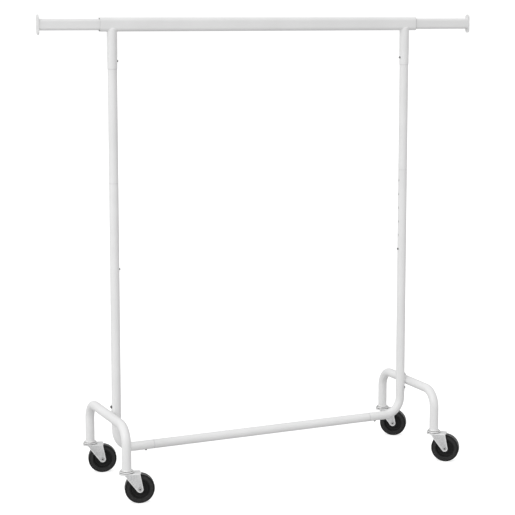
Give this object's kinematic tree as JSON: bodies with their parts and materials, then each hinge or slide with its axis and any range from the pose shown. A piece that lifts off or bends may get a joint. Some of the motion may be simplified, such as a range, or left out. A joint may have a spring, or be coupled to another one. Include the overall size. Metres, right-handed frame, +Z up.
{
  "type": "rolling clothes rack",
  "caption": "Free-standing clothes rail on swivel casters, with a level hanging rail, pull-out rail ends and posts that telescope to set the height.",
  "frame": {"origin": "on the floor, midway between the two posts", "axes": "+X along the hanging rail to the right, -Y towards the front, +Z up"},
  "size_m": [1.296, 0.3732, 1.2702],
  "materials": {
    "tube_paint": "white powder coat, slight orange peel",
    "rail_paint": "white powder coat, smooth from hangers",
    "end_cap": "white moulded plastic",
    "black_plastic": "black moulded plastic",
    "wheel_hub": "black moulded plastic",
    "tyre": "dark grey rubber, fine knurl",
    "zinc_sheet": "zinc plated, satin",
    "bright_steel": "polished",
    "button_steel": "dark steel",
    "spring_steel": "blued strip",
    "screw_steel": "zinc plated"
  },
  "bodies": {
    "lower_frame": {"crossbar": "tube_paint", "leg_sockets": "black_plastic", "foot_bracket_screws": "screw_steel", "left_lower_post": "tube_paint", "left_foot_arch": "tube_paint", "left_foot_bracket": "tube_paint", "left_crossbar_spring": "spring_steel", "right_lower_post": "tube_paint", "right_foot_arch": "tube_paint", "right_foot_bracket": "tube_paint", "right_crossbar_spring": "spring_steel", "front_left_caster_stem": "bright_steel", "front_left_caster_balls": "bright_steel", "front_right_caster_stem": "bright_steel", "front_right_caster_balls": "bright_steel", "rear_left_caster_stem": "bright_steel", "rear_left_caster_balls": "bright_steel", "rear_right_caster_stem": "bright_steel", "rear_right_caster_balls": "bright_steel"},
    "upper_frame": {"top_rail": "rail_paint", "left_rail_socket": "tube_paint", "left_upper_post": "tube_paint", "left_inner_post": "tube_paint", "left_rail_glide": "black_plastic", "left_socket_spring": "spring_steel", "left_height_spring": "spring_steel", "right_rail_socket": "tube_paint", "right_upper_post": "tube_paint", "right_inner_post": "tube_paint", "right_rail_glide": "black_plastic", "right_socket_spring": "spring_steel", "right_height_spring": "spring_steel"},
    "left_rail_extension": {"left_extension_rod": "rail_paint", "left_rod_guide": "black_plastic", "left_end_cap": "end_cap"},
    "left_height_button": {"left_height_button": "button_steel"},
    "left_socket_button": {"left_socket_button": "button_steel"},
    "left_crossbar_button": {"left_crossbar_button": "button_steel"},
    "right_rail_extension": {"right_extension_rod": "rail_paint", "right_rod_guide": "black_plastic", "right_end_cap": "end_cap"},
    "right_height_button": {"right_height_button": "button_steel"},
    "right_socket_button": {"right_socket_button": "button_steel"},
    "right_crossbar_button": {"right_crossbar_button": "button_steel"},
    "front_left_caster": {"front_left_caster_fork": "zinc_sheet", "front_left_caster_axle": "zinc_sheet"},
    "front_left_wheel": {"front_left_caster_hub": "wheel_hub", "front_left_caster_tyre": "tyre"},
    "front_right_caster": {"front_right_caster_fork": "zinc_sheet", "front_right_caster_axle": "zinc_sheet"},
    "front_right_wheel": {"front_right_caster_hub": "wheel_hub", "front_right_caster_tyre": "tyre"},
    "rear_left_caster": {"rear_left_caster_fork": "zinc_sheet", "rear_left_caster_axle": "zinc_sheet"},
    "rear_left_wheel": {"rear_left_caster_hub": "wheel_hub", "rear_left_caster_tyre": "tyre"},
    "rear_right_caster": {"rear_right_caster_fork": "zinc_sheet", "rear_right_caster_axle": "zinc_sheet"},
    "rear_right_wheel": {"rear_right_caster_hub": "wheel_hub", "rear_right_caster_tyre": "tyre"}
  },
  "joints": [
    {"name": "height_slide", "type": "slide", "parent": "lower_frame", "child": "upper_frame", "axis": [0, 0, 1], "range_m": [0, 0.2], "deforming": ["left_height_button", "left_height_spring", "right_height_button", "right_height_spring"]},
    {"name": "left_extension_slide", "type": "slide", "parent": "upper_frame", "child": "left_rail_extension", "axis": [-1, 0, 0], "range_m": [-0.154, 0.011]},
    {"name": "left_height_press", "type": "slide", "parent": "upper_frame", "child": "left_height_button", "axis": [-1, 0, 0], "range_m": [0, 0.0048], "stiffness_N_per_m": 900, "springref_m": -0.003, "deforming": ["left_height_spring"]},
    {"name": "left_socket_press", "type": "slide", "parent": "upper_frame", "child": "left_socket_button", "axis": [-1, 0, 0], "range_m": [0, 0.0048], "stiffness_N_per_m": 900, "springref_m": -0.003, "deforming": ["left_socket_spring"]},
    {"name": "left_crossbar_press", "type": "slide", "parent": "lower_frame", "child": "left_crossbar_button", "axis": [0, 0, 1], "range_m": [0, 0.0048], "stiffness_N_per_m": 900, "springref_m": -0.003, "deforming": ["left_crossbar_spring"]},
    {"name": "right_extension_slide", "type": "slide", "parent": "upper_frame", "child": "right_rail_extension", "axis": [1, 0, 0], "range_m": [-0.165, 0]},
    {"name": "right_height_press", "type": "slide", "parent": "upper_frame", "child": "right_height_button", "axis": [1, 0, 0], "range_m": [0, 0.0048], "stiffness_N_per_m": 900, "springref_m": -0.003, "deforming": ["right_height_spring"]},
    {"name": "right_socket_press", "type": "slide", "parent": "upper_frame", "child": "right_socket_button", "axis": [1, 0, 0], "range_m": [0, 0.0048], "stiffness_N_per_m": 900, "springref_m": -0.003, "deforming": ["right_socket_spring"]},
    {"name": "right_crossbar_press", "type": "slide", "parent": "lower_frame", "child": "right_crossbar_button", "axis": [0, 0, 1], "range_m": [0, 0.0048], "stiffness_N_per_m": 900, "springref_m": -0.003, "deforming": ["right_crossbar_spring"]},
    {"name": "front_left_swivel", "type": "hinge", "parent": "lower_frame", "child": "front_left_caster", "pos_m": [-0.4665, -0.15, 0.082], "axis": [0, 0, 1], "continuous": true},
    {"name": "front_left_wheel_spin", "type": "hinge", "parent": "front_left_caster", "child": "front_left_wheel", "pos_m": [-0.4343, -0.15923, 0.0395], "axis": [0.2756, 0.9613, 0], "continuous": true},
    {"name": "front_right_swivel", "type": "hinge", "parent": "lower_frame", "child": "front_right_caster", "pos_m": [0.4665, -0.15, 0.082], "axis": [0, 0, 1], "continuous": true},
    {"name": "front_right_wheel_spin", "type": "hinge", "parent": "front_right_caster", "child": "front_right_wheel", "pos_m": [0.49253, -0.17108, 0.0395], "axis": [0.6293, 0.7771, 0], "continuous": true},
    {"name": "rear_left_swivel", "type": "hinge", "parent": "lower_frame", "child": "rear_left_caster", "pos_m": [-0.4665, 0.15, 0.082], "axis": [0, 0, 1], "continuous": true},
    {"name": "rear_left_wheel_spin", "type": "hinge", "parent": "rear_left_caster", "child": "rear_left_wheel", "pos_m": [-0.4343, 0.14077, 0.0395], "axis": [0.2756, 0.9613, 0], "continuous": true},
    {"name": "rear_right_swivel", "type": "hinge", "parent": "lower_frame", "child": "rear_right_caster", "pos_m": [0.4665, 0.15, 0.082], "axis": [0, 0, 1], "continuous": true},
    {"name": "rear_right_wheel_spin", "type": "hinge", "parent": "rear_right_caster", "child": "rear_right_wheel", "pos_m": [0.49325, 0.12984, 0.0395], "axis": [0.6018, 0.7986, 0], "continuous": true}
  ]
}
